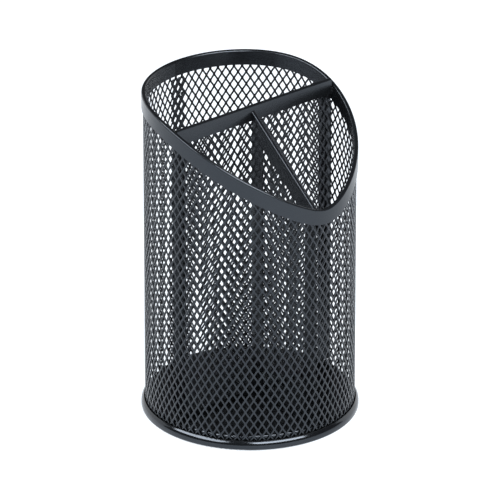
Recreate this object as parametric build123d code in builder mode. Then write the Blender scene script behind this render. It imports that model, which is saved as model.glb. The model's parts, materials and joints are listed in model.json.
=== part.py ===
from build123d import *
import math
import os

os.makedirs("parts", exist_ok=True)

# ---------------------------------------------------------------- driving dimensions (mm)
# The turning axis is Z and the table is z = 0. X runs along the main divider and -Y is the front.

# wall of rolled expanded metal
wall_r = 50.9
wall_t = 0.9
wall_bottom_z = 1.6

# top edge of the wall, measured along the unrolled sheet from its low point
rim_high_z = 165.05
rim_low_z = 119.7
rim_slope = 0.60
rim_dip_run = 10.3
rim_shoulder = 6.4
rim_turn = 5.0

# folded channel on that edge
rim_sheet = 0.5
rim_gap = 0.1
rim_width = 7.6
rim_bend = 0.8
rim_joint = 0.25
rim_joint_depth = 8.0

# rounded hem at the foot
hem_r = 52.6
hem_sheet = 0.6
hem_bottom_z = 0.6
hem_round_r = 3.3
hem_round_z = 2.4
hem_round_arc = 50
hem_web_r = 48.8
hem_bend = 0.6

# floor pan
floor_z = 7.3
floor_sheet = 0.6
floor_r = 49.85
floor_skirt_z = 1.4
floor_bend = 0.6

# divider panels
panel_t = 0.9
fold_sheet = 0.5
fold_gap = 0.05
fold_t = panel_t + 2 * fold_gap + 2 * fold_sheet
main_y = -2.8
cross_x = -1.2
divider_end = 49.15
main_end = 48.4
divider_top_z = 158.6
main_fold_h = 7.8
cross_fold_h = 8.3
cross_hub_z = 155.8
cross_end_z = 119.2
panel_inset = 0.1
panel_lift = 0.2
hub_gap = 0.15
strip_w = 7.7
strip_end = 49.75
strip_t = 0.6
strip_gap = 0.1
strip_notch_z = 146.5
foot_leg = 4.2
foot_h = 2.7
foot_sheet = 0.6
foot_bend = 0.5
foot_inset = 0.3
fold_bend = 0.8

# turntable hidden under the floor
race_r = 32.0
race_groove_r = 2.0
ball_r = 1.95
ball_count = 16
ball_z = 4.25
upper_bottom_z = 5.9
upper_plate_r = 41.0
plate_t = 0.8
dish_r = 14.0
dish_slope_run = 4.0
dish_bottom_z = 4.3
dish_bend = 1.2
lower_plate_r = 42.0
base_z = 1.0
base_r = 47.4
base_lip_z = 3.8
base_bend = 1.0
cage_in_r = 27.6
cage_out_r = 36.4
cage_bottom_z = 3.6
cage_t = 1.3
cage_pocket_r = 2.06
pivot_r = 2.5
pivot_fit = 0.08
pivot_head_r = 4.5
pivot_head_t = 0.9
pivot_head_round = 0.5
pivot_float = 0.3
washer_r = 7.0
washer_gap = 0.3
foot_pad_r = 5.0
foot_pad_pos_r = 38.0
foot_pad_count = 4
foot_pad_start = 45
foot_pad_chamfer = 0.25
rivet_count = 3
rivet_pos_r = 24.0
rivet_start = 30
rivet_r = 1.4
rivet_fit = 0.05
rivet_head_r = 2.6
head_t = 0.6
head_chamfer = 0.3

# how far cutting shapes run past the metal they cut
cut_past = 5.0
cut_reach = 80.0


# ---------------------------------------------------------------- shared shapes
def top_edge(angle):
    """Height of the sheet's top edge, at an angle in degrees from the low point."""
    run = math.radians(angle) * wall_r
    line = rim_low_z + rim_slope * (math.hypot(run, rim_dip_run) - rim_dip_run)
    return rim_high_z - rim_shoulder * math.log1p(math.exp((rim_high_z - line) / rim_shoulder))


def band_edge(angle):
    """Height of the rim channel's lower edge: a strip of even width, folded along the top edge."""
    rise = (top_edge(angle + 0.5) - top_edge(angle - 0.5)) / (math.radians(1) * wall_r)
    return top_edge(angle) - rim_width * math.sqrt(1 + rise * rise)


def edge_face(height, drop, near=40, far=60, steps=48):
    """Ring-shaped face that follows an edge height round the axis, with a radial ruling."""
    rings = []
    for radius in (near, far):
        points = []
        for step in range(steps):
            angle = 180 - step * 360 / steps
            at = math.radians(angle + rim_turn - 90)
            z = height(abs(angle)) - drop
            points.append((radius * math.cos(at), radius * math.sin(at), z))
        with BuildLine() as ring:
            Spline(*points, periodic=True)
        rings.append(ring.edge())
    return Face.make_surface_from_curves(rings[0], rings[1])


def sleeve(inner, outer, bottom_z, drop):
    """Round wall from bottom_z up to the sheet's top edge, less a drop."""
    with BuildPart() as tube:
        with BuildSketch(Plane.XY.offset(bottom_z)):
            Circle(outer)
            Circle(inner, mode=Mode.SUBTRACT)
        extrude(amount=rim_high_z + cut_past - bottom_z)
        extrude(edge_face(top_edge, drop), amount=cut_reach, dir=(0, 0, 1), mode=Mode.SUBTRACT)
    return tube.part


# ---------------------------------------------------------------- wall, rim, hem and floor
with BuildPart() as wall_mesh:
    add(sleeve(wall_r - wall_t, wall_r, wall_bottom_z, rim_sheet + rim_gap))
wall_mesh.part.label = "wall_mesh"
export_step(wall_mesh.part, "parts/wall_mesh.step")

rim_in = wall_r - wall_t - rim_gap - rim_sheet
rim_out = wall_r + rim_gap + rim_sheet
rim_start_z = rim_low_z - 2 * rim_width
with BuildPart() as top_rim:
    add(sleeve(rim_in, rim_out, rim_start_z, 0))
    top_loops = top_rim.edges().filter_by(lambda e: e.geom_type == GeomType.BSPLINE and e.length > wall_r)
    fillet(top_loops, radius=rim_bend)
    extrude(edge_face(band_edge, 0), amount=-cut_reach, dir=(0, 0, 1), mode=Mode.SUBTRACT)
    add(sleeve(rim_in + rim_sheet, rim_out - rim_sheet, rim_start_z - cut_past, rim_sheet),
        mode=Mode.SUBTRACT)
    with Locations(Rotation(0, 0, rim_turn)):
        with Locations((0, wall_r, rim_high_z - rim_width / 2)):
            Box(rim_joint, rim_joint_depth, rim_width * 2, mode=Mode.SUBTRACT)
top_rim.part.label = "top_rim"
export_step(top_rim.part, "parts/top_rim.step")

# the hem rounds out below the mesh, drops straight and turns in under the wall
hem_mid_r = hem_r - hem_sheet / 2
hem_mid_z = hem_bottom_z + hem_sheet / 2
with BuildPart() as base_ring:
    with BuildSketch(Plane.XZ):
        with BuildLine():
            CenterArc((hem_mid_r - hem_round_r, hem_round_z), hem_round_r, start_angle=0,
                      arc_size=hem_round_arc)
            FilletPolyline((hem_mid_r, hem_round_z), (hem_mid_r, hem_mid_z), (hem_web_r, hem_mid_z),
                           radius=hem_bend)
        trace(line_width=hem_sheet)
    revolve(axis=Axis.Z)
base_ring.part.label = "base_ring"
export_step(base_ring.part, "parts/base_ring.step")

with BuildPart() as floor_pan:
    with BuildSketch(Plane.XZ):
        with BuildLine():
            FilletPolyline((0, floor_z - floor_sheet / 2),
                           (floor_r - floor_sheet / 2, floor_z - floor_sheet / 2),
                           (floor_r - floor_sheet / 2, floor_skirt_z), radius=floor_bend)
        trace(line_width=floor_sheet)
    revolve(axis=Axis.Z)
floor_pan.part.label = "floor_pan"
export_step(floor_pan.part, "parts/floor_pan.step")

# ---------------------------------------------------------------- main divider, rim to rim
panel_bottom_z = floor_z + foot_sheet + panel_lift
main_front = main_y - fold_t / 2
main_back = main_y + panel_t / 2 + fold_gap
main_face = main_y - panel_t / 2 - fold_gap
with BuildPart() as main_divider_mesh:
    with Locations((0, main_y, panel_bottom_z)):
        Box(2 * (main_end - panel_inset), panel_t, divider_top_z - fold_sheet - fold_gap - panel_bottom_z,
            align=(Align.CENTER, Align.CENTER, Align.MIN))
main_divider_mesh.part.label = "main_divider_mesh"
export_step(main_divider_mesh.part, "parts/main_divider_mesh.step")

with BuildPart() as main_divider_top_channel:
    with BuildSketch(Plane.YZ) as fold_section:
        with Locations((main_y, divider_top_z)):
            Rectangle(fold_t, main_fold_h, align=(Align.CENTER, Align.MAX))
        fillet(fold_section.vertices().group_by(Axis.Y)[-1], radius=fold_bend)
        with Locations((main_y, divider_top_z - fold_sheet)):
            Rectangle(fold_t - 2 * fold_sheet, main_fold_h, align=(Align.CENTER, Align.MAX),
                      mode=Mode.SUBTRACT)
    extrude(amount=main_end, both=True)
main_divider_top_channel.part.label = "main_divider_top_channel"
export_step(main_divider_top_channel.part, "parts/main_divider_top_channel.step")

main_strip_low_z = floor_z + foot_h + strip_gap
main_strip_high_z = divider_top_z - main_fold_h - strip_gap


def main_strip_outline(side):
    """Corners of an end strip: notched where it passes inside the rim, full width below."""
    inner = side * (strip_end - strip_w)
    return [(inner, main_strip_low_z), (side * strip_end, main_strip_low_z),
            (side * strip_end, strip_notch_z),
            (side * divider_end, strip_notch_z), (side * divider_end, main_strip_high_z),
            (inner, main_strip_high_z)]


with BuildPart() as main_divider_left_strip:
    with BuildSketch(Plane.XZ.offset(-main_back)):
        with BuildLine():
            Polyline(*main_strip_outline(-1), close=True)
        make_face()
    extrude(amount=-strip_t)
main_divider_left_strip.part.label = "main_divider_left_strip"
export_step(main_divider_left_strip.part, "parts/main_divider_left_strip.step")

with BuildPart() as main_divider_right_strip:
    with BuildSketch(Plane.XZ.offset(-main_back)):
        with BuildLine():
            Polyline(*main_strip_outline(1), close=True)
        make_face()
    extrude(amount=-strip_t)
main_divider_right_strip.part.label = "main_divider_right_strip"
export_step(main_divider_right_strip.part, "parts/main_divider_right_strip.step")

foot_mid_z = floor_z + foot_sheet / 2
with BuildPart() as main_divider_foot:
    with BuildSketch(Plane.YZ):
        with BuildLine():
            FilletPolyline((main_face - foot_sheet + foot_leg, foot_mid_z),
                           (main_face - foot_sheet / 2, foot_mid_z),
                           (main_face - foot_sheet / 2, floor_z + foot_h), radius=foot_bend)
        trace(line_width=foot_sheet)
    extrude(amount=divider_end - foot_inset, both=True)
main_divider_foot.part.label = "main_divider_foot"
export_step(main_divider_foot.part, "parts/main_divider_foot.step")

# ---------------------------------------------------------------- cross divider, hub to front
cross_start = main_front - hub_gap
cross_fall = math.atan2(cross_hub_z - cross_end_z, divider_end + cross_start)
cross_back = cross_x + panel_t / 2 + fold_gap
cross_front = cross_x - panel_t / 2 - fold_gap


def cross_z(y, inset=0):
    """Height of the cross divider's sloping top edge, less an inset square to it."""
    return cross_hub_z + (y - cross_start) * math.tan(cross_fall) - inset / math.cos(cross_fall)


def slope_outline(y_hub, y_wall, bottom_z, inset):
    """Corners of an upright piece between two Y positions, under the sloping edge."""
    return [(y_hub, bottom_z), (y_wall, bottom_z), (y_wall, cross_z(y_wall, inset)),
            (y_hub, cross_z(y_hub, inset))]


with BuildPart() as cross_divider_mesh:
    with BuildSketch(Plane.YZ.offset(cross_x)):
        with BuildLine():
            Polyline(*slope_outline(cross_start, panel_inset - divider_end, panel_bottom_z,
                                    fold_sheet + fold_gap), close=True)
        make_face()
    extrude(amount=panel_t / 2, both=True)
cross_divider_mesh.part.label = "cross_divider_mesh"
export_step(cross_divider_mesh.part, "parts/cross_divider_mesh.step")

with BuildPart() as cross_divider_top_channel:
    with BuildSketch(Plane.YZ.offset(cross_x)):
        with BuildLine():
            Polyline((cross_start, cross_z(cross_start, cross_fold_h)),
                     (-divider_end, cross_z(-divider_end, cross_fold_h)),
                     (-divider_end, cross_z(-divider_end)),
                     (cross_start, cross_z(cross_start)), close=True)
        make_face()
    extrude(amount=fold_t / 2, both=True)
    long_edges = cross_divider_top_channel.edges().filter_by(lambda e: e.length > divider_end)
    fillet(long_edges.sort_by(Axis.Z)[-2:], radius=fold_bend)
    with BuildSketch(Plane.YZ.offset(cross_x)):
        with BuildLine():
            Polyline(*slope_outline(cross_start + cut_past, -divider_end - cut_past, 0, fold_sheet),
                     close=True)
        make_face()
    extrude(amount=fold_t / 2 - fold_sheet, both=True, mode=Mode.SUBTRACT)
cross_divider_top_channel.part.label = "cross_divider_top_channel"
export_step(cross_divider_top_channel.part, "parts/cross_divider_top_channel.step")

with BuildPart() as cross_divider_inner_strip:
    with BuildSketch(Plane.YZ.offset(cross_front)):
        with BuildLine():
            Polyline(*slope_outline(cross_start, cross_start - strip_w, panel_bottom_z,
                                    cross_fold_h + strip_gap), close=True)
        make_face()
    extrude(amount=-strip_t)
cross_divider_inner_strip.part.label = "cross_divider_inner_strip"
export_step(cross_divider_inner_strip.part, "parts/cross_divider_inner_strip.step")

with BuildPart() as cross_divider_outer_strip:
    with BuildSketch(Plane.YZ.offset(cross_front)):
        with BuildLine():
            Polyline(*slope_outline(strip_w - strip_end, -strip_end, panel_bottom_z,
                                    cross_fold_h + strip_gap), close=True)
        make_face()
    extrude(amount=-strip_t)
cross_divider_outer_strip.part.label = "cross_divider_outer_strip"
export_step(cross_divider_outer_strip.part, "parts/cross_divider_outer_strip.step")

cross_foot_start = main_face - foot_sheet - foot_inset
with BuildPart() as cross_divider_foot:
    with BuildSketch(Plane.XZ.offset(-cross_foot_start)):
        with BuildLine():
            FilletPolyline((cross_back + foot_sheet - foot_leg, foot_mid_z),
                           (cross_back + foot_sheet / 2, foot_mid_z),
                           (cross_back + foot_sheet / 2, floor_z + foot_h), radius=foot_bend)
        trace(line_width=foot_sheet)
    extrude(amount=divider_end + cross_foot_start - 2 * foot_inset)
cross_divider_foot.part.label = "cross_divider_foot"
export_step(cross_divider_foot.part, "parts/cross_divider_foot.step")

# ---------------------------------------------------------------- turntable, turning half
upper_mid_z = upper_bottom_z + plate_t / 2
with BuildPart() as upper_race_plate:
    with BuildSketch(Plane.XZ):
        with BuildLine():
            FilletPolyline((pivot_r + pivot_fit, dish_bottom_z + plate_t / 2),
                           (dish_r, dish_bottom_z + plate_t / 2),
                           (dish_r + dish_slope_run, upper_mid_z), (upper_plate_r, upper_mid_z),
                           radius=dish_bend)
        trace(line_width=plate_t)
    revolve(axis=Axis.Z)
    with BuildSketch(Plane.XZ):
        with Locations((race_r, ball_z)):
            Circle(race_groove_r)
    revolve(axis=Axis.Z, mode=Mode.SUBTRACT)
upper_race_plate.part.label = "upper_race_plate"
export_step(upper_race_plate.part, "parts/upper_race_plate.step")

# ---------------------------------------------------------------- turntable, balls and cage
with BuildPart() as ball_cage:
    with BuildSketch(Plane.XY.offset(cage_bottom_z)):
        Circle(cage_out_r)
        Circle(cage_in_r, mode=Mode.SUBTRACT)
        with PolarLocations(race_r, ball_count):
            Circle(cage_pocket_r, mode=Mode.SUBTRACT)
    extrude(amount=cage_t)
ball_cage.part.label = "ball_cage"
export_step(ball_cage.part, "parts/ball_cage.step")

with BuildPart() as bearing_balls:
    with Locations((0, 0, ball_z)):
        with PolarLocations(race_r, ball_count):
            Sphere(ball_r)
bearing_balls.part.label = "bearing_balls"
export_step(bearing_balls.part, "parts/bearing_balls.step")

# ---------------------------------------------------------------- turntable, standing half
fixed_bore_r = pivot_r + rivet_fit
rivet_bore_r = rivet_r + rivet_fit
with BuildPart() as base_disc:
    with BuildSketch(Plane.XZ):
        with BuildLine():
            FilletPolyline((fixed_bore_r, base_z + plate_t / 2), (base_r - plate_t / 2, base_z + plate_t / 2),
                           (base_r - plate_t / 2, base_lip_z), radius=base_bend)
        trace(line_width=plate_t)
    revolve(axis=Axis.Z)
    with Locations((0, 0, base_z + plate_t)):
        with PolarLocations(rivet_pos_r, rivet_count, start_angle=rivet_start):
            Hole(rivet_bore_r)
base_disc.part.label = "base_disc"
export_step(base_disc.part, "parts/base_disc.step")

lower_z = base_z + plate_t
with BuildPart() as lower_race_plate:
    with BuildSketch(Plane.XY.offset(lower_z)):
        Circle(lower_plate_r)
        Circle(fixed_bore_r, mode=Mode.SUBTRACT)
        with PolarLocations(rivet_pos_r, rivet_count, start_angle=rivet_start):
            Circle(rivet_bore_r, mode=Mode.SUBTRACT)
    extrude(amount=plate_t)
    with BuildSketch(Plane.XZ):
        with Locations((race_r, ball_z)):
            Circle(race_groove_r)
    revolve(axis=Axis.Z, mode=Mode.SUBTRACT)
lower_race_plate.part.label = "lower_race_plate"
export_step(lower_race_plate.part, "parts/lower_race_plate.step")

# rivets through both standing plates, with thin heads that stay clear of the table
clamp_t = 2 * plate_t
with BuildPart() as race_rivets:
    with BuildSketch(Plane.XY.offset(base_z - head_t)):
        with PolarLocations(rivet_pos_r, rivet_count, start_angle=rivet_start):
            Circle(rivet_head_r)
    extrude(amount=head_t)
    with BuildSketch(Plane.XY.offset(base_z)):
        with PolarLocations(rivet_pos_r, rivet_count, start_angle=rivet_start):
            Circle(rivet_r)
    extrude(amount=clamp_t)
    with BuildSketch(Plane.XY.offset(base_z + clamp_t)):
        with PolarLocations(rivet_pos_r, rivet_count, start_angle=rivet_start):
            Circle(rivet_head_r)
    extrude(amount=head_t)
    chamfer(race_rivets.edges().filter_by(GeomType.CIRCLE).filter_by(
        lambda e: abs(e.radius - rivet_head_r) < 0.01).group_by(Axis.Z)[-1], length=head_chamfer)
race_rivets.part.label = "race_rivets"
export_step(race_rivets.part, "parts/race_rivets.step")

pivot_head_z = dish_bottom_z + plate_t + pivot_float
with BuildPart() as pivot_rivet:
    with Locations((0, 0, base_z - head_t)):
        Cylinder(pivot_head_r, head_t, align=(Align.CENTER, Align.CENTER, Align.MIN))
    with Locations((0, 0, base_z)):
        Cylinder(pivot_r, pivot_head_z - base_z, align=(Align.CENTER, Align.CENTER, Align.MIN))
    with Locations((0, 0, pivot_head_z)):
        Cylinder(pivot_head_r, pivot_head_t, align=(Align.CENTER, Align.CENTER, Align.MIN))
    fillet(pivot_rivet.edges().group_by(Axis.Z)[-1], radius=pivot_head_round)
pivot_rivet.part.label = "pivot_rivet"
export_step(pivot_rivet.part, "parts/pivot_rivet.step")

with BuildPart() as thrust_washer:
    with BuildSketch(Plane.XY.offset(lower_z + plate_t)):
        Circle(washer_r)
        Circle(fixed_bore_r, mode=Mode.SUBTRACT)
    extrude(amount=dish_bottom_z - washer_gap - lower_z - plate_t)
thrust_washer.part.label = "thrust_washer"
export_step(thrust_washer.part, "parts/thrust_washer.step")

with BuildPart() as rubber_feet:
    with BuildSketch(Plane.XY):
        with PolarLocations(foot_pad_pos_r, foot_pad_count, start_angle=foot_pad_start):
            Circle(foot_pad_r)
    extrude(amount=base_z)
    chamfer(rubber_feet.edges().group_by(Axis.Z)[0], length=foot_pad_chamfer)
rubber_feet.part.label = "rubber_feet"
export_step(rubber_feet.part, "parts/rubber_feet.step")
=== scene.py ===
"""Looks of the mesh desk cup that turns on a hidden turntable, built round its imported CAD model.

The CAD nodes stay as they are and get procedural finishes. Only the three plain sheets that stand
for expanded metal are replaced, by strands that cross from bond to bond.
"""

import json
import math

import bpy
import numpy as np
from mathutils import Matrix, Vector


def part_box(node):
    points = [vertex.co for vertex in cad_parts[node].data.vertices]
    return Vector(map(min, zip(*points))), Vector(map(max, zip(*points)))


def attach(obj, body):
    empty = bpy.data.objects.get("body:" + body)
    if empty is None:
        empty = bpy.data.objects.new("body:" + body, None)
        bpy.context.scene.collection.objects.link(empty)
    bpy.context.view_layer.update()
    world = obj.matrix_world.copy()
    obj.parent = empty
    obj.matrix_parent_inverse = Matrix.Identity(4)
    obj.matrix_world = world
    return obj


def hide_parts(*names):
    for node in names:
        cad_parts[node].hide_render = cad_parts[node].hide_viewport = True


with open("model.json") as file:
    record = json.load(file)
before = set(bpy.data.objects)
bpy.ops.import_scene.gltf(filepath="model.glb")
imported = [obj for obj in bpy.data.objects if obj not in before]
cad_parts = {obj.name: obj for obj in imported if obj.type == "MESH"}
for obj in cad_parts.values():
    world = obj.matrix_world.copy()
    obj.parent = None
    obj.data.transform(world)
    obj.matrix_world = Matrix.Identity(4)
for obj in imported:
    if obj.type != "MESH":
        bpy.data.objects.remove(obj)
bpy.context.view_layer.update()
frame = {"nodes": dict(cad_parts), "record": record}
MM = 0.001

# ------------------------------------------------------------------ sizes taken from the frame
wall_low, wall_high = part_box("wall_mesh")
main_low, main_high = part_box("main_divider_mesh")
cross_low, cross_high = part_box("cross_divider_mesh")
floor_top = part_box("floor_pan")[1].z
main_mid = (main_low.y + main_high.y) / 2
cross_mid = (cross_low.x + cross_high.x) / 2
WALL_T = 0.9 * MM
WALL_MID = wall_high.x - WALL_T / 2

# ------------------------------------------------------------------ sizes of the expanded metal
COLUMNS = 80
STRANDS = COLUMNS * 2
CELL_LONG = 6.35 * MM
CELL_SHORT = math.tau * WALL_MID / COLUMNS
STRAND_GAP = CELL_SHORT / 2
STRAND_W = 1.08 * MM
STRAND_T = 0.50 * MM
STRAND_ROUND = 0.15 * MM
# how far a strand's middle stays from the middle of a bond, and neighbours' difference in depth
KNUCKLE = 0.12 * MM
KNUCKLE_STEP = 0.02 * MM
# a strand's bends along half a cell: how far up they are, and how much of its crossing is done there
STRAND_BENDS = ((0.05, 0.0), (0.14, 0.06), (0.86, 0.94), (0.95, 1.0))
SMOOTH_BELOW = math.radians(50)

# where each lattice starts: turned or moved sideways, and lifted as a share of half a cell
WALL_TURN = math.pi / 2 + 0.027
WALL_LIFT = 0.27
PANEL_SHIFT = 0.6 * MM
PANEL_LIFT = 0.46
# how far below the sheet's upper edge the wall's strands end, and how many pieces they make
WALL_TUCK = 0.2 * MM
SECTORS = 8

# the lapped strip at the back of the wall, and its two columns of spot welds
SEAM_FROM = math.radians(88.9)
SEAM_TO = math.radians(98.3)
SEAM_INSET = 0.85 * MM
SEAM_LIFT = 0.6
SEAM_BELOW_TOP = 8.2 * MM
WELD_R = 0.95 * MM
WELD_RISE = 0.3 * MM
WELD_SIDES = 12
# a weld's rings from foot to crown, as shares of its radius and of its rise
WELD_RINGS = ((1.0, -0.2), (1.0, 0.35), (0.8, 0.8), (0.45, 1.0))
WELD_COLUMNS = (0.25, 0.78)
WELD_ROWS = 17
WELD_FIRST = 16 * MM
WELD_PITCH = 8.3 * MM
WELD_STAGGER = 3.6 * MM
WELD_STRAY_UP = 1.6 * MM
WELD_STRAY_SIDE = 0.9 * MM
# radians between one row's stray and the next, and between the columns
WELD_SCATTER = (12.9, 4.1)


# ------------------------------------------------------------------ shapes read from the CAD nodes
def corners_of(node):
    """Corners of a CAD node's mesh, as rows of x, y and z."""
    return np.array([v.co for v in frame["nodes"][node].data.vertices])


def round_edge_height(node, turn_steps=720):
    """Height of a round wall's upper edge, as a function of the angle."""
    corners = corners_of(node)
    upper = corners[corners[:, 2] > corners[:, 2].max() / 2]
    angles = np.arctan2(upper[:, 1], upper[:, 0]) % math.tau
    order = np.argsort(angles)
    grid = np.linspace(0, math.tau, turn_steps, endpoint=False)
    tops = np.interp(grid, angles[order], upper[order, 2], period=math.tau)
    return lambda angle: float(np.interp(angle % math.tau, grid, tops, period=math.tau))


def sloping_edge_height(node, start, end):
    """Height of a flat panel's straight upper edge, as a function of y between start and end."""
    corners = corners_of(node)
    start_top = corners[corners[:, 1] < start + MM][:, 2].max()
    end_top = corners[corners[:, 1] > end - MM][:, 2].max()
    return lambda y: start_top + (end_top - start_top) * (y - start) / (end - start)


# ------------------------------------------------------------------ mesh building
class Shape:
    """Gathers corners and faces for one mesh object."""

    def __init__(self):
        self.points = []
        self.faces = []

    def tube(self, rings):
        """Joins rings of corners, each an n by 3 array, into a capped tube."""
        start = len(self.points)
        sides = len(rings[0])
        for ring in rings:
            self.points.extend(map(tuple, ring))
        for i in range(len(rings) - 1):
            a = start + i * sides
            b = a + sides
            for j in range(sides):
                k = (j + 1) % sides
                self.faces.append((a + j, a + k, b + k, b + j))
        self.faces.append(tuple(start + j for j in reversed(range(sides))))
        end = start + (len(rings) - 1) * sides
        self.faces.append(tuple(end + j for j in range(sides)))

    def make(self, name, finish, body):
        """Makes the piece, in its finish and riding on its body."""
        mesh = bpy.data.meshes.new(name)
        mesh.from_pydata(self.points, [], self.faces)
        mesh.validate()
        mesh.update()
        mesh.materials.append(finish)
        mesh.shade_smooth()
        mesh.set_sharp_from_angle(angle=SMOOTH_BELOW)
        piece = bpy.data.objects.new(name, mesh)
        bpy.context.scene.collection.objects.link(piece)
        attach(piece, body)
        return piece


def strand_line(number, low, high, lift):
    """Centre line of one strand, as rows of (across, depth, height) from low to high."""
    half = CELL_LONG / 2
    sway = STRAND_GAP / 2 - KNUCKLE
    depth = KNUCKLE_STEP * (number % 2 - 0.5)
    first = math.floor(low / half - lift) - 1
    last = math.ceil(high / half - lift) + 1
    rows = []
    for step in range(first, last):
        side = 1 if (step + number) % 2 else -1
        for place, crossed in STRAND_BENDS:
            rows.append((side * (1 - 2 * crossed) * sway, depth, (step + place + lift) * half))
    rows = np.array(rows)
    heights = rows[:, 2]
    inside = rows[(heights > low) & (heights < high)]
    ends = [[np.interp(z, heights, rows[:, 0]), depth, z] for z in (low, high)]
    return np.vstack([ends[:1], inside, ends[1:]])


def strand_section():
    """Corners of a strand's level section as (across, depth): a flat bar with softened corners."""
    w, t, c = STRAND_W / 2, STRAND_T / 2, STRAND_ROUND
    return ((w, t - c), (w - c, t), (c - w, t), (-w, t - c),
            (-w, c - t), (c - w, -t), (w - c, -t), (w, c - t))


def add_strand(shape, number, low, high, lift, place):
    """Adds one strand, with place(across, depth, height) giving each corner's position."""
    rings = []
    for across, depth, height in strand_line(number, low, high, lift):
        rings.append(np.array([place(across + u, depth + v, height) for u, v in strand_section()]))
    shape.tube(rings)


def add_weld(shape, across, height, place):
    """Adds a spot weld: a low round button on the inner face of the mesh."""
    rings = []
    for share, rise in WELD_RINGS:
        ring = []
        for j in range(WELD_SIDES):
            turn = math.tau * j / WELD_SIDES
            ring.append(place(across + WELD_R * share * math.cos(turn), -WELD_RISE * rise,
                              height + WELD_R * share * math.sin(turn)))
        rings.append(np.array(ring))
    shape.tube(rings[::-1])


# ------------------------------------------------------------------ steps of a material
# how well the plain and rounded normals match where an edge's mask starts, and where it is full
EDGE_FROM = 0.98
EDGE_TO = 0.75
BEVEL_SAMPLES = 4


def new_material(name):
    """A new node material, with its node tree and its shader."""
    made = bpy.data.materials.new(name)
    made.use_nodes = True
    return made, made.node_tree, made.node_tree.nodes["Principled BSDF"]


def object_coords(tree):
    """Coordinates fixed to the piece, in metres."""
    return tree.nodes.new("ShaderNodeTexCoord").outputs["Object"]


def stretched(tree, coords, scale):
    """Coordinates scaled along each axis."""
    mapping = tree.nodes.new("ShaderNodeMapping")
    mapping.inputs["Scale"].default_value = scale
    tree.links.new(coords, mapping.inputs["Vector"])
    return mapping.outputs["Vector"]


def noise(tree, coords, scale, detail):
    """Cloudy noise from 0 to 1."""
    texture = tree.nodes.new("ShaderNodeTexNoise")
    texture.inputs["Scale"].default_value = scale
    texture.inputs["Detail"].default_value = detail
    tree.links.new(coords, texture.inputs["Vector"])
    return texture.outputs["Fac"]


def remapped(tree, source, low, high):
    """A value from 0 to 1 spread from low to high."""
    spread = tree.nodes.new("ShaderNodeMapRange")
    spread.inputs["To Min"].default_value = low
    spread.inputs["To Max"].default_value = high
    tree.links.new(source, spread.inputs["Value"])
    return spread.outputs["Result"]


def mixed(tree, factor, first, second):
    """Colour between two others, each given as red, green and blue or as a node's output."""
    mix = tree.nodes.new("ShaderNodeMix")
    mix.data_type = "RGBA"
    for name, colour in (("A", first), ("B", second)):
        if isinstance(colour, tuple):
            mix.inputs[name].default_value = (*colour, 1)
        else:
            tree.links.new(colour, mix.inputs[name])
    tree.links.new(factor, mix.inputs["Factor"])
    return mix.outputs["Result"]


def edge_mask(tree, radius):
    """1 on the piece's edges: its normal against one rounded over a small radius."""
    rounded = tree.nodes.new("ShaderNodeBevel")
    rounded.samples = BEVEL_SAMPLES
    rounded.inputs["Radius"].default_value = radius
    plain = tree.nodes.new("ShaderNodeNewGeometry")
    match = tree.nodes.new("ShaderNodeVectorMath")
    match.operation = "DOT_PRODUCT"
    tree.links.new(rounded.outputs["Normal"], match.inputs[0])
    tree.links.new(plain.outputs["Normal"], match.inputs[1])
    mask = tree.nodes.new("ShaderNodeMapRange")
    mask.inputs["From Min"].default_value = EDGE_FROM
    mask.inputs["From Max"].default_value = EDGE_TO
    tree.links.new(match.outputs["Value"], mask.inputs["Value"])
    return mask.outputs["Result"]


def bumped(tree, source, height, strength=1.0):
    """Normal of a surface raised by up to height where source is 1."""
    bump = tree.nodes.new("ShaderNodeBump")
    bump.inputs["Strength"].default_value = strength
    bump.inputs["Distance"].default_value = height
    tree.links.new(source, bump.inputs["Height"])
    return bump.outputs["Normal"]


# ------------------------------------------------------------------ kinds of material
COAT_SPECULAR = 0.47
COAT_TINT = (0.77, 0.87, 1.0, 1)
COAT_EDGE = 0.4 * MM
STEEL_EDGE = 0.3 * MM
STEEL_RUBBED = (0.82, 0.82, 0.83)
STEEL_MARKS = 0.01 * MM
GLOW_DEPTH = 1 * MM


def powder_coat(name, dark, light, rough, grain, height, edge_wear_and_highlight=None):
    """Baked powder paint: fine orange peel, uneven gloss and colour, and edges in a lighter colour
    for worn paint and a painted highlight.
    """
    made, tree, shader = new_material(name)
    coords = object_coords(tree)
    broad = noise(tree, coords, scale=60, detail=3)
    peel = noise(tree, coords, scale=grain, detail=2)
    colour = mixed(tree, broad, dark, light)
    if edge_wear_and_highlight:
        # lighter colour on the edges: partly worn paint, partly a painted highlight
        colour = mixed(tree, edge_mask(tree, COAT_EDGE), colour, edge_wear_and_highlight)
    tree.links.new(colour, shader.inputs["Base Color"])
    tree.links.new(remapped(tree, broad, *rough), shader.inputs["Roughness"])
    tree.links.new(bumped(tree, peel, height), shader.inputs["Normal"])
    shader.inputs["Specular IOR Level"].default_value = COAT_SPECULAR
    shader.inputs["Specular Tint"].default_value = COAT_TINT
    return made


def plated_steel(name, dark, light, rough, brushed):
    """Bare or zinc-plated steel: cloudy plating, fine rolling marks, brighter rubbed edges."""
    made, tree, shader = new_material(name)
    coords = object_coords(tree)
    cloud = noise(tree, coords, scale=90, detail=4)
    marks = noise(tree, stretched(tree, coords, brushed), scale=400, detail=3)
    colour = mixed(tree, cloud, dark, light)
    colour = mixed(tree, edge_mask(tree, STEEL_EDGE), colour, STEEL_RUBBED)
    tree.links.new(colour, shader.inputs["Base Color"])
    tree.links.new(remapped(tree, marks, *rough), shader.inputs["Roughness"])
    tree.links.new(bumped(tree, marks, STEEL_MARKS, strength=0.6), shader.inputs["Normal"])
    shader.inputs["Metallic"].default_value = 1.0
    return made


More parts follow.
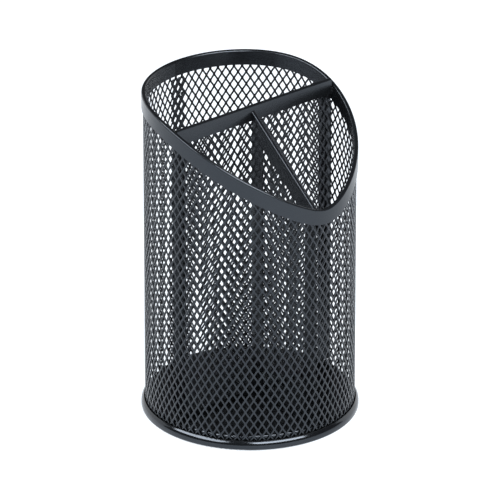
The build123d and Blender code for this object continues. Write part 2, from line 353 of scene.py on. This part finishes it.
def moulded(name, dark, light, rough, grain, height, through=0.0):
    """Nylon or rubber: soft mottling and a fine moulded grain, letting a share of light through."""
    made, tree, shader = new_material(name)
    coords = object_coords(tree)
    mottle = noise(tree, coords, scale=120, detail=3)
    skin = noise(tree, coords, scale=grain, detail=3)
    tree.links.new(mixed(tree, mottle, dark, light), shader.inputs["Base Color"])
    tree.links.new(remapped(tree, skin, *rough), shader.inputs["Roughness"])
    tree.links.new(bumped(tree, skin, height), shader.inputs["Normal"])
    shader.inputs["Subsurface Weight"].default_value = through
    shader.inputs["Subsurface Scale"].default_value = GLOW_DEPTH
    return made


# ------------------------------------------------------------------ the object's materials
def satin_black():
    """Paint of the wall, the rim and the dividers."""
    return powder_coat("satin_black", dark=(0.002, 0.0023, 0.0028), light=(0.004, 0.0044, 0.005),
                       rough=(0.18, 0.27), grain=1800, height=0.02 * MM)


def gloss_black():
    """Smoother paint of the hem, the floor pan and the foot plate, thinner on its edges, where a
    lighter colour stands for worn paint and a painted highlight.
    """
    # the lighter edge colour is partly worn paint and partly a painted highlight
    return powder_coat("gloss_black", dark=(0.002, 0.0022, 0.0026), light=(0.003, 0.0033, 0.0038),
                       rough=(0.10, 0.17), grain=900, height=0.01 * MM, edge_wear_and_highlight=(0.02, 0.021, 0.023))


def zinc_steel():
    """Plated race plates and rivets."""
    return plated_steel("zinc_steel", dark=(0.50, 0.51, 0.52), light=(0.64, 0.65, 0.66),
                        rough=(0.26, 0.44), brushed=(1, 12, 1))


def ball_steel():
    """Polished bearing balls."""
    return plated_steel("ball_steel", dark=(0.70, 0.71, 0.73), light=(0.80, 0.81, 0.83),
                        rough=(0.06, 0.14), brushed=(1, 1, 1))


def nylon():
    """Moulded cage and washer."""
    return moulded("nylon", dark=(0.66, 0.63, 0.55), light=(0.76, 0.74, 0.67),
                   rough=(0.38, 0.55), grain=1500, height=0.01 * MM, through=0.15)


def rubber():
    """Pads under the foot plate."""
    return moulded("rubber", dark=(0.012, 0.012, 0.013), light=(0.028, 0.028, 0.028),
                   rough=(0.70, 0.90), grain=2500, height=0.03 * MM)


def floor_paint():
    """Pale studio floor that glows a little, so that it stays even."""
    made, _, shader = new_material("studio_floor")
    shader.inputs["Base Color"].default_value = (0.35, 0.37, 0.39, 1)
    shader.inputs["Roughness"].default_value = 0.6
    shader.inputs["Emission Color"].default_value = (0.88, 0.92, 0.97, 1)
    shader.inputs["Emission Strength"].default_value = 0.78
    return made


FINISHES = {make.__name__: make()
            for make in (satin_black, gloss_black, zinc_steel, ball_steel, nylon, rubber)}


# ------------------------------------------------------------------ the wall and its seam
def on_wall(angle, inset=0.0):
    """Places corners on the wall round an angle, or by inset further in."""
    def place(across, depth, height):
        turn = angle + across / WALL_MID
        radius = WALL_MID + (depth - inset)
        return radius * math.cos(turn), radius * math.sin(turn), height
    return place


def build_wall(top):
    """Rolled mesh of the wall, in sectors that end inside the rim."""
    for sector in range(SECTORS):
        shape = Shape()
        for number in range(sector * STRANDS // SECTORS, (sector + 1) * STRANDS // SECTORS):
            angle = math.tau * (number + 0.5) / STRANDS + WALL_TURN
            add_strand(shape, number, wall_low.z, top(angle) - WALL_TUCK, WALL_LIFT, on_wall(angle))
        piece = shape.make(f"wall_mesh_{sector}", FINISHES["satin_black"], "cup")
        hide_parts("wall_mesh")


def build_seam(top):
    """Strip of mesh that laps the inside of the wall at the back."""
    shape = Shape()
    count = round((SEAM_TO - SEAM_FROM) / (math.tau / STRANDS))
    for number in range(count):
        angle = SEAM_FROM + (number + 0.5) * (SEAM_TO - SEAM_FROM) / count
        add_strand(shape, number, floor_top, top(angle) - SEAM_BELOW_TOP, SEAM_LIFT,
                   on_wall(angle, SEAM_INSET))
    seam = shape.make("wall_mesh_seam", FINISHES["satin_black"], "cup")
    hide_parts("wall_mesh")


def build_seam_welds():
    """Two columns of spot welds on the strip, not quite in line."""
    shape = Shape()
    for column, share in enumerate(WELD_COLUMNS):
        angle = SEAM_FROM + (SEAM_TO - SEAM_FROM) * share
        place = on_wall(angle, SEAM_INSET + STRAND_T / 2)
        for row in range(WELD_ROWS):
            stray = math.sin(row * WELD_SCATTER[0] + column * WELD_SCATTER[1])
            height = WELD_FIRST + WELD_PITCH * row + WELD_STAGGER * column + WELD_STRAY_UP * stray
            add_weld(shape, WELD_STRAY_SIDE * stray, height, place)
    welds = shape.make("wall_mesh_seam_welds", FINISHES["satin_black"], "cup")
    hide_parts("wall_mesh")


# ------------------------------------------------------------------ the divider panels
def on_main_panel(x):
    """Places corners on the main panel, round a distance along it."""
    return lambda across, depth, height: (x + across, main_mid + depth, height)


def on_cross_panel(y):
    """Places corners on the cross panel, round a distance along it."""
    return lambda across, depth, height: (cross_mid + depth, y + across, height)


def panel_of_strands(start, end, low, top, place_at):
    """A flat panel of upright strands from start to end, with top(at) and place_at(at) for each."""
    shape = Shape()
    count = int((end - start) / STRAND_GAP)
    first = (start + end - (count - 1) * STRAND_GAP) / 2 + PANEL_SHIFT
    for number in range(count):
        at = first + number * STRAND_GAP
        add_strand(shape, number, low, top(at), PANEL_LIFT, place_at(at))
    return shape


def build_main_panel():
    """Mesh of the panel across the cup."""
    shape = panel_of_strands(main_low.x + STRAND_W, main_high.x - STRAND_W, main_low.z,
                             lambda x: main_high.z, on_main_panel)
    main_panel = shape.make("main_divider_mesh_panel", FINISHES["satin_black"], "cup")
    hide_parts("main_divider_mesh")


def build_cross_panel():
    """Mesh of the panel from the hub to the front, under its sloping channel."""
    top = sloping_edge_height("cross_divider_mesh", cross_low.y, cross_high.y)
    shape = panel_of_strands(cross_low.y + STRAND_W, cross_high.y - STRAND_W, cross_low.z,
                             top, on_cross_panel)
    cross_panel = shape.make("cross_divider_mesh_panel", FINISHES["satin_black"], "cup")
    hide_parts("cross_divider_mesh")


def finish_cad_pieces():
    """Gives each CAD node the finish of its material slot."""
    for subpart in frame["record"]["subparts"]:
        finish = FINISHES[subpart["material_slot"]]
        node = frame["nodes"][subpart["node"]]
        if not node.material_slots:
            node.data.materials.append(finish)
        for slot in node.material_slots:
            slot.material = finish


# ------------------------------------------------------------------ floor, light and camera
FLOOR_SIZE = 6.0
WORLD_COLOUR = (0.87, 0.93, 1.0, 1)
WORLD_STRENGTH = 0.12
LAMP_FAR = 1.4
LAMP_AIM = Vector((0, 0, 0.05))
CAMERA_TURN = -41
CAMERA_PITCH = 24.56
CAMERA_FAR = 2.75
CAMERA_AIM = Vector((0, 0, 0.08175))
CAMERA_LENS = 413.6
CAMERA_SENSOR = 36
CAMERA_CLIP = (0.1, 20)


def towards(turn, lift):
    """Direction from the cup, at degrees round from the front and degrees up."""
    turn, lift = math.radians(turn), math.radians(lift)
    return Vector((math.sin(turn) * math.cos(lift), -math.cos(turn) * math.cos(lift), math.sin(lift)))


def set_up(obj, place, facing):
    """Puts a lamp or camera in the scene, facing a direction."""
    bpy.context.scene.collection.objects.link(obj)
    obj.location = place
    obj.rotation_euler = facing.to_track_quat("-Z", "Y").to_euler()


def build_floor():
    """Flat square under the object."""
    half = FLOOR_SIZE / 2
    corners = [(-half, -half, 0), (half, -half, 0), (half, half, 0), (-half, half, 0)]
    mesh = bpy.data.meshes.new("studio_floor")
    mesh.from_pydata(corners, [], [(0, 1, 2, 3)])
    mesh.materials.append(floor_paint())
    floor = bpy.data.objects.new("studio_floor", mesh)
    bpy.context.scene.collection.objects.link(floor)


def build_world():
    """Faint even light from all round."""
    world = bpy.data.worlds.new("studio")
    bpy.context.scene.world = world
    world.use_nodes = True
    background = world.node_tree.nodes["Background"]
    background.inputs["Color"].default_value = WORLD_COLOUR
    background.inputs["Strength"].default_value = WORLD_STRENGTH


def softbox(name, turn, lift, size, power):
    """Soft rectangular lamp, at degrees round from the camera's side of the cup and degrees up."""
    light = bpy.data.lights.new(name, "AREA")
    light.shape = "RECTANGLE"
    light.size, light.size_y = size
    light.energy = power
    place = towards(CAMERA_TURN + turn, lift) * LAMP_FAR
    set_up(bpy.data.objects.new(name, light), place, LAMP_AIM - place)


def build_lights():
    """Two softboxes above the front, and a weak one low on either side towards the back."""
    softbox("softbox_right", turn=33, lift=40, size=(1.25, 0.56), power=38)
    softbox("softbox_left", turn=-60, lift=40, size=(1.35, 0.5), power=28)
    softbox("side_left", turn=-125, lift=15, size=(1.5, 0.8), power=4.5)
    softbox("side_right", turn=130, lift=15, size=(1.2, 0.8), power=4.5)


def build_camera():
    """Long lens from above the front left."""
    lens = bpy.data.cameras.new("camera")
    lens.lens = CAMERA_LENS
    lens.sensor_width = CAMERA_SENSOR
    lens.clip_start, lens.clip_end = CAMERA_CLIP
    camera = bpy.data.objects.new("camera", lens)
    back = towards(CAMERA_TURN, CAMERA_PITCH)
    set_up(camera, CAMERA_AIM + back * CAMERA_FAR, -back)
    bpy.context.scene.camera = camera
    bpy.context.scene.view_settings.view_transform = "Standard"


wall_top = round_edge_height("wall_mesh")
build_wall(wall_top)
build_seam(wall_top)
build_seam_welds()
build_main_panel()
build_cross_panel()
finish_cad_pieces()
build_floor()
build_world()
build_lights()
build_camera()
